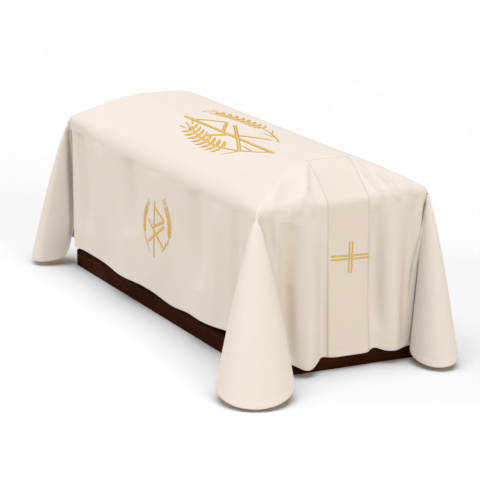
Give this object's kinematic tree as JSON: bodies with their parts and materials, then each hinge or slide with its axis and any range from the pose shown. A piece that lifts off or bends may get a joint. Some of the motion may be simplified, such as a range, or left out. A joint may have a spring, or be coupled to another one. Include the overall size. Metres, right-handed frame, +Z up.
{
  "type": "coffin drape on a coffin",
  "caption": "Cream funeral pall laid over a crowned coffin, hanging in soft cones at the corners, with a band sewn down the foot end and a dark plinth showing below the hem.",
  "frame": {"origin": "centre of the plinth's underside, on the floor", "axes": "+X along the coffin towards its foot end, where the band is; +Y across the coffin, away from the side with the emblem; +Z up"},
  "size_m": [2.5481, 1.2242, 0.8243],
  "materials": {
    "cloth": "cream fine-weave cloth with a soft sheen",
    "band_cloth": "cream fine-weave cloth, pressed flat",
    "gold_thread": "gold embroidery thread with a satin sheen",
    "dark_wood": "dark varnished wood"
  },
  "bodies": {
    "root": {"drape": "cloth", "foot_band": "band_cloth", "coffin_lid": "dark_wood", "coffin_chest": "dark_wood", "coffin_plinth": "dark_wood"}
  },
  "joints": []
}
